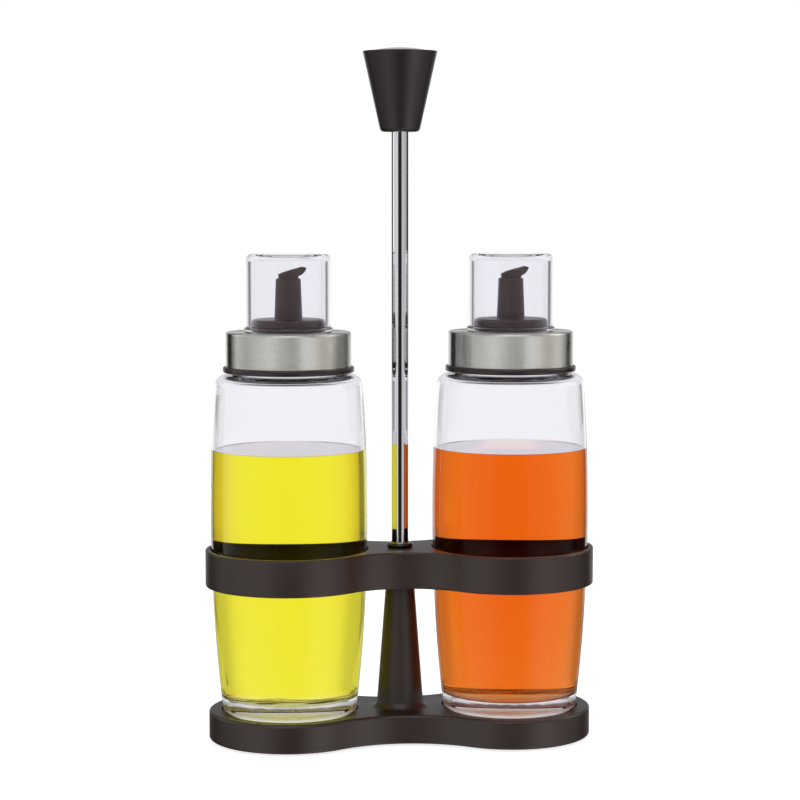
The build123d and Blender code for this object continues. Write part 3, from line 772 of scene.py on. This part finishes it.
class CRUET_OT_dust_caps(Operator):
    """Builds the clear dust caps: thick cups with a small lip at the mouth"""

    bl_idname = "cruet.dust_caps"
    bl_label = "Dust caps"

    def execute(self, context):
        sizes, looks = context.scene.cruet_cap, context.scene.cruet_finishes
        smooth = {"ripple": 0.02, "ripple_depth": 0.00008}
        clear = made("clear_moulded_acrylic", clear_body, looks.clear, ACRYLIC_IOR, **smooth)
        for contents in STATIONS:
            low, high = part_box(f"{contents}_dust_cap")
            lip = (high.x - low.x) / 2
            outside = lip - sizes.lip
            bore = outside - sizes.wall
            ceiling = high.z - sizes.top
            profile = rounded(
                [
                    (0, high.z, 0),
                    (outside * 0.5, high.z, 0),
                    (outside, high.z, sizes.top_round),
                    (outside, low.z + sizes.lip_height, 0.0006),
                    (lip, low.z + sizes.lip_height, 0.0005),
                    (lip, low.z, 0.0005),
                    (bore, low.z, 0.0004),
                    (bore, ceiling, sizes.inner_round),
                    (bore * 0.5, ceiling, 0),
                    (0, ceiling, 0),
                ]
            )
            cap = skin(f"{contents}_clear_cap", turned(profile, axis_of(contents)), f"{contents}_cap")
            wear(cap, clear)
            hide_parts(f"{contents}_dust_cap")
        return {"FINISHED"}


# ---- stand -----------------------------------------------------------------------------------------
ROD_STEP = 0.004  # how far the rod goes up into the grip at its full width
STUD_RADIUS = 0.003  # of the rod above that
COLLAR_GAP = 0.00003  # from the rod to the collar round it
COLLAR_BULGE = 0.47  # round of the collar's edges as a share of its height, nearly a half round


class CRUET_OT_stand(Operator):
    """Builds the chrome rod, collar, grip and disc and finishes the moulded stand and its hardware"""

    bl_idname = "cruet.stand"
    bl_label = "Stand"

    def execute(self, context):
        sizes, looks = context.scene.cruet_stand, context.scene.cruet_finishes
        coarse = {"roughness": 0.38, "grain": 0.0005, "depth": 0.00006}
        soft = {"roughness": 0.36, "grain": 0.0005, "depth": 0.00004, "gloss": 0.7}
        shiny = {"roughness": 0.16, "grain": 0.0006, "depth": 0.00001}
        matt = {"roughness": 0.7, "grain": 0.0006, "depth": 0.0001}
        plastic = made("moulded_abs", moulded_plastic, looks.stand, **coarse)
        grip_plastic = made("moulded_grip_plastic", moulded_plastic, looks.grip, **soft)
        gloss = made("glossy_collar_plastic", moulded_plastic, looks.lid, **shiny)
        chrome = made("chrome_plated_steel", metal, looks.chrome, roughness=0.03)
        polish = made("polished_steel_disc", metal, looks.chrome, roughness=0.08, brushed=0.25)
        rubber = made("moulded_rubber", moulded_plastic, hexed("#1c1b1b"), **matt)
        zinc = made("zinc_plated_steel", turned_hardware, hexed("#a9abad"), roughness=0.35)
        brass = made("turned_brass", turned_hardware, hexed("#b08d4a"), roughness=0.3)
        finishes = {
            "base_column": plastic, "holder_band": plastic, "feet": rubber,
            "base_screw": zinc, "base_washer": zinc, "grip_insert": brass,
        }
        for node, material in finishes.items():
            wear_node(node, material)

        low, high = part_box("rod")
        grip_low, grip_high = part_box("grip_cone")
        step = grip_low.z + ROD_STEP
        shaft = rounded(
            [
                (0, low.z, 0),
                (sizes.rod_radius, low.z, 0.0003),
                (sizes.rod_radius, step, 0.0002),
                (STUD_RADIUS, step, 0.0001),
                (STUD_RADIUS, high.z, 0.0004),
                (0, high.z, 0),
            ]
        )
        rod = skin("chrome_rod", turned(shaft, 0.0, 128), "stand")
        wear(rod, chrome)
        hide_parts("rod")

        low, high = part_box("rod_collar")
        bore, outside = sizes.rod_radius + COLLAR_GAP, (high.x - low.x) / 2
        bulge = (high.z - low.z) * COLLAR_BULGE
        ring = rounded(
            [(bore, low.z, 0.0001), (outside, low.z, bulge), (outside, high.z, bulge), (bore, high.z, 0.0003)]
        )
        collar = skin("rod_ring", turned(ring, 0.0, 128), "stand", loop=True)
        wear(collar, gloss)
        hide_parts("rod_collar")

        top = (grip_high.x - grip_low.x) / 2
        inside = top - sizes.rim
        seat = grip_high.z - sizes.rim_depth
        cone = rounded(
            [
                (0, grip_low.z, 0),
                (sizes.grip_foot, grip_low.z, sizes.grip_foot_round),
                (top, grip_high.z, 0.00018),
                (inside, grip_high.z, 0.00012),
                (inside, seat, 0.0001),
                (0, seat, 0),
            ]
        )
        grip = skin("cone_grip", turned(cone, 0.0, 192), "stand")
        wear(grip, grip_plastic)
        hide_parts("grip_cone")

        low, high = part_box("grip_disc")
        edge, crown = (high.x - low.x) / 2, high.z - low.z - sizes.disc_edge
        bend = (edge**2 + crown**2) / (2 * crown)
        r = np.linspace(edge, 0, 24)[1:]
        dome = np.column_stack([r, high.z - bend + np.sqrt(bend**2 - r**2), 0 * r])
        shelf = low.z + sizes.disc_edge
        plate = rounded([(0, low.z, 0), (edge, low.z, 0.0001), (edge, shelf, 0.00015), *dome])
        disc = skin("steel_disc", turned(plate, 0.0, 192), "stand")
        wear(disc, polish)
        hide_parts("grip_disc")
        return {"FINISHED"}


# ---- stage ------------------------------------------------------------------------------------------
# Brightness round the studio: degrees from straight behind the set, positive to its right, and the
# level or colour there. Glass looks through at the first three: from the top down, a white backdrop
# between dark flags, a neutral strip for the clear part of the bottles, and a sheet behind their
# contents that warms towards its sides.
BACKDROP = (
    (-180, 0.2), (-168, 0.25), (-160, 1.0), (-110, 1.0), (-60, 0.9), (-46, 0.8), (-42, 0.22), (-32, 0.2),
    (-27, 0.6), (-21, 0.95), (-16, 1.0), (26, 1.0), (31, 0.95), (37, 0.6), (42, 0.2), (52, 0.22), (56, 0.8),
    (70, 0.9), (110, 1.0), (160, 1.0), (168, 0.25), (180, 0.2),
)
SHEET_TOP = (
    (-180, 0.4), (-166, 0.5), (-158, 1.0), (-100, 0.9), (-90, 0.35), (-60, 0.35), (-54, 0.7), (-36, 0.72),
    (-26, 0.92), (-18, 1.0), (28, 1.0), (36, 0.92), (46, 0.72), (64, 0.7), (70, 0.35), (98, 0.35),
    (108, 0.9), (158, 1.0), (166, 0.5), (180, 0.4),
)
SHEET = (
    (-180, 1.0), (-166, 1.0), (-158, 1.2), (-120, 1.2), (-100, 0.9), (-72, 0.9), (-64, 0.6), (-60, 0.15),
    (-51, 0.15), (-46, "#dccab0"), (-40, "#eadcc4"), (-33, "#f5eee4"), (-26, "#fbf8f2"), (-16, 1.0),
    (26, 1.0), (36, "#f8f3ea"), (43, "#ecdfc8"), (51, "#e0ceb0"), (60, "#d4c0a0"), (65, "#c8b498"),
    (69, 0.15), (79, 0.15), (86, 0.6), (100, 0.9), (120, 1.2), (158, 1.2), (166, 1.0), (180, 1.0),
)
# Metal and plastic mirror these: level with the set, from above, and from below.
LEVEL_CARDS = (
    (-180, 0.02), (-151, 0.02), (-148, 0.8), (-92, 0.76), (-87, 1.1), (-66, 1.1), (-62, 0.03), (-28, 0.03),
    (-24, 1.0), (36, 1.0), (40, 0.03), (80, 0.03), (84, 0.3), (96, 0.46), (112, 0.56), (150, 0.62),
    (160, 0.8), (163, 0.02), (180, 0.02),
)
HIGH_CARDS = (
    (-180, 1.6), (-165, 1.6), (-153, 1.54), (-142, 0.95), (-130, 0.75), (-119, 0.6), (-92, 0.85), (-76, 0.9),
    (-62, 1.8), (-53, 1.8), (-50, 0.03), (-24, 0.03), (-21, 0.5), (39, 0.5), (42, 0.03), (63, 0.03),
    (66, 2.4), (86, 2.5), (101, 1.35), (110, "#a8927a"), (116, "#9c8874"), (127, "#8f7d6c"), (131, 0.3),
    (140, 0.25), (152, 0.35), (155, 3.0), (157, 3.0), (159, 0.7), (166, 1.2), (180, 1.6),
)
LOW_CARDS = (
    (-180, 0.1), (-170, 0.2), (-152, 0.95), (-138, 1.35), (-120, 1.35), (-102, 0.85), (-84, 0.1), (-50, 0.02),
    (-24, 0.02), (-21, 0.3), (39, 0.3), (42, 0.02), (63, 0.02), (70, 0.3), (92, 0.6), (106, "#ffeedc"),
    (118, 1.4), (130, 2.3), (144, 2.3), (154, 1.0), (168, 0.2), (180, 0.1),
)
# From the bottom up, the sines of a ray's slope over which each ring takes over from what is below it
WINDOW_RINGS = ((-0.29, -0.26, SHEET), (-0.132, -0.1, SHEET_TOP), (-0.07, -0.062, BACKDROP))
PLAIN_ABOVE = (-0.015, 0.02)
MIRROR_RINGS = ((-0.2, -0.17, LEVEL_CARDS), (0.02, 0.08, HIGH_CARDS))
FLOOR_REACH = 3.0  # from the middle of the floor to its edges
FLOOR_GLOW, FLOOR_GLOW_SHARE = 1.25, 0.6  # own light that the camera sees on it, and its share
LIT_HEIGHT = 0.15  # that the soft boxes face
# name, place, width and height, and share of the lamps' power
SOFT_BOXES = (
    ("soft_box_left", (-1.1, -0.9, 0.9), (0.8, 1.1), 1.0),
    ("soft_box_right", (1.2, -0.7, 0.8), (0.8, 1.1), 0.8),
    ("soft_box_top", (0.0, 0.3, 1.5), (1.2, 0.9), 1.0),
)


def studio_world():
    """A white studio. The camera sees plain white and matt surfaces an even light; glass and metal
    see the backdrop, flags and cards by the direction of the ray."""
    world = bpy.data.worlds.new("studio")
    bpy.context.scene.world = world
    world.use_nodes = True
    tree = world.node_tree
    tree.nodes.clear()
    way = add(tree, "ShaderNodeTexCoord").outputs["Generated"]
    parts = add(tree, "ShaderNodeSeparateXYZ", {"Vector": way}).outputs
    turn = combined(tree, "ARCTAN2", parts["X"], parts["Y"])
    share = ranged(tree, turn, -math.pi, math.pi, 0.0, 1.0)

    def cards(stops):
        ramp = add(tree, "ShaderNodeValToRGB", {"Fac": share})
        elements = ramp.color_ramp.elements
        elements.remove(elements[-1])
        for i, (degrees, level) in enumerate(stops):
            element = elements.new((degrees + 180) / 360) if i else elements[0]
            element.color = hexed(level) if isinstance(level, str) else grey(level)
        return ramp.outputs[0]

    def over(below, start, end, above):
        """The colour below where the ray's slope is under the start, the one above past the end."""
        slope = {"Value": parts["Z"], "From Min": start, "From Max": end}
        factor = add(tree, "ShaderNodeMapRange", slope, interpolation_type="SMOOTHSTEP").outputs[0]
        return blend(tree, factor, below, above)

    mirror = cards(LOW_CARDS)
    for start, end, stops in MIRROR_RINGS:
        mirror = over(mirror, start, end, cards(stops))
    plain = window = hexed("#f8f7fa")
    for start, end, stops in WINDOW_RINGS:
        window = over(window, start, end, cards(stops))
    window = over(window, *PLAIN_ABOVE, plain)
    ray = add(tree, "ShaderNodeLightPath").outputs
    seen = blend(tree, ray["Is Glossy Ray"], grey(bpy.context.scene.cruet_stage.room), mirror)
    seen = blend(tree, ray["Is Transmission Ray"], seen, window)
    seen = blend(tree, ray["Is Camera Ray"], seen, grey(1.0))
    light = add(tree, "ShaderNodeBackground", {"Color": seen, "Strength": 1.0})
    add(tree, "ShaderNodeOutputWorld", {"Surface": light.outputs[0]})


def studio_floor():
    """A white sheet 6 m across under the set. The camera sees its shadow on near white; glass and
    metal look past it at the backdrop, which goes on below. From underneath it is clear."""
    mesh = bpy.data.meshes.new("studio_floor")
    corners = [(x * FLOOR_REACH, y * FLOOR_REACH, 0) for x, y in ((-1, -1), (1, -1), (1, 1), (-1, 1))]
    mesh.from_pydata(corners, [], [(0, 1, 2, 3)])
    floor = bpy.data.objects.new("studio_floor", mesh)
    bpy.context.scene.collection.objects.link(floor)
    floor.visible_glossy = False
    floor.visible_transmission = False
    material, tree = blank("white_paper_sheet")
    ray = add(tree, "ShaderNodeLightPath")
    paper = add(tree, "ShaderNodeBsdfDiffuse", {"Color": hexed("#f4f4f4")})
    glow = add(tree, "ShaderNodeEmission", {"Color": grey(1.0), "Strength": FLOOR_GLOW})
    part = combined(tree, "MULTIPLY", ray.outputs["Is Camera Ray"], FLOOR_GLOW_SHARE)
    both = add(tree, "ShaderNodeMixShader", {0: part, 1: paper.outputs[0], 2: glow.outputs[0]})
    below = add(tree, "ShaderNodeNewGeometry").outputs["Backfacing"]
    clear = add(tree, "ShaderNodeBsdfTransparent")
    sheet = add(tree, "ShaderNodeMixShader", {0: below, 1: both.outputs[0], 2: clear.outputs[0]})
    finish_with(tree, sheet)
    mesh.materials.append(material)


def face(thing, place, height):
    """Puts a lamp or camera at the place and turns it to the given height on the set's middle."""
    thing.location = place
    aim = Vector((0, 0, height)) - Vector(place)
    thing.rotation_euler = aim.to_track_quat("-Z", "Y").to_euler()


def soft_box(name, place, size, power):
    """Area lamp that faces the set; it lights but isn't mirrored."""
    lamp = bpy.data.lights.new(name, "AREA")
    lamp.energy = power
    lamp.shape = "RECTANGLE"
    lamp.size, lamp.size_y = size
    box = bpy.data.objects.new(name, lamp)
    face(box, place, LIT_HEIGHT)
    box.visible_glossy = False
    box.visible_transmission = False
    bpy.context.scene.collection.objects.link(box)


class CRUET_OT_stage(Operator):
    """Sets the floor, the studio light and the camera"""

    bl_idname = "cruet.stage"
    bl_label = "Stage"

    def execute(self, context):
        stage = context.scene.cruet_stage
        studio_world()
        studio_floor()
        for name, place, size, share in SOFT_BOXES:
            soft_box(name, place, size, stage.lamp * share)
        camera = bpy.data.cameras.new("camera")
        camera.lens = stage.lens
        camera.clip_start = 0.01
        holder = bpy.data.objects.new("camera", camera)
        turn = math.radians(stage.turn)
        place = (stage.distance * math.sin(turn), -stage.distance * math.cos(turn), stage.height)
        face(holder, place, stage.aim)
        context.scene.collection.objects.link(holder)
        context.scene.camera = holder
        context.scene.view_settings.view_transform = "Standard"
        # light runs to and fro inside thick glass many times before it leaves
        context.scene.cycles.max_bounces = 24
        context.scene.cycles.glossy_bounces = 16
        context.scene.cycles.transmission_bounces = 24
        return {"FINISHED"}


class CRUET_PT_panel(Panel):
    """Lists the cruet set's builders"""

    bl_idname = "CRUET_PT_panel"
    bl_label = "Cruet set"
    bl_space_type = "VIEW_3D"
    bl_region_type = "UI"
    bl_category = "Cruet"

    def draw(self, context):
        for maker in MAKERS:
            self.layout.operator(maker.bl_idname)


GROUPS = {
    "cruet_bottle": BottleSizes,
    "cruet_fill": FillSizes,
    "cruet_lid": LidSizes,
    "cruet_cap": CapSizes,
    "cruet_stand": StandSizes,
    "cruet_finishes": Finishes,
    "cruet_stage": StageSettings,
}
MAKERS = (
    CRUET_OT_stand,
    CRUET_OT_bottles,
    CRUET_OT_contents,
    CRUET_OT_lids,
    CRUET_OT_pourers,
    CRUET_OT_dust_caps,
    CRUET_OT_stage,
)
CLASSES = (*GROUPS.values(), *MAKERS, CRUET_PT_panel)


def register():
    for kind in CLASSES:
        bpy.utils.register_class(kind)
    for name, group in GROUPS.items():
        setattr(bpy.types.Scene, name, PointerProperty(type=group))


def unregister():
    for name in GROUPS:
        delattr(bpy.types.Scene, name)
    for kind in reversed(CLASSES):
        bpy.utils.unregister_class(kind)


def main():
    register()
    for maker in MAKERS:
        group, name = maker.bl_idname.split(".")
        getattr(getattr(bpy.ops, group), name)()


if __name__ == "__main__":
    main()
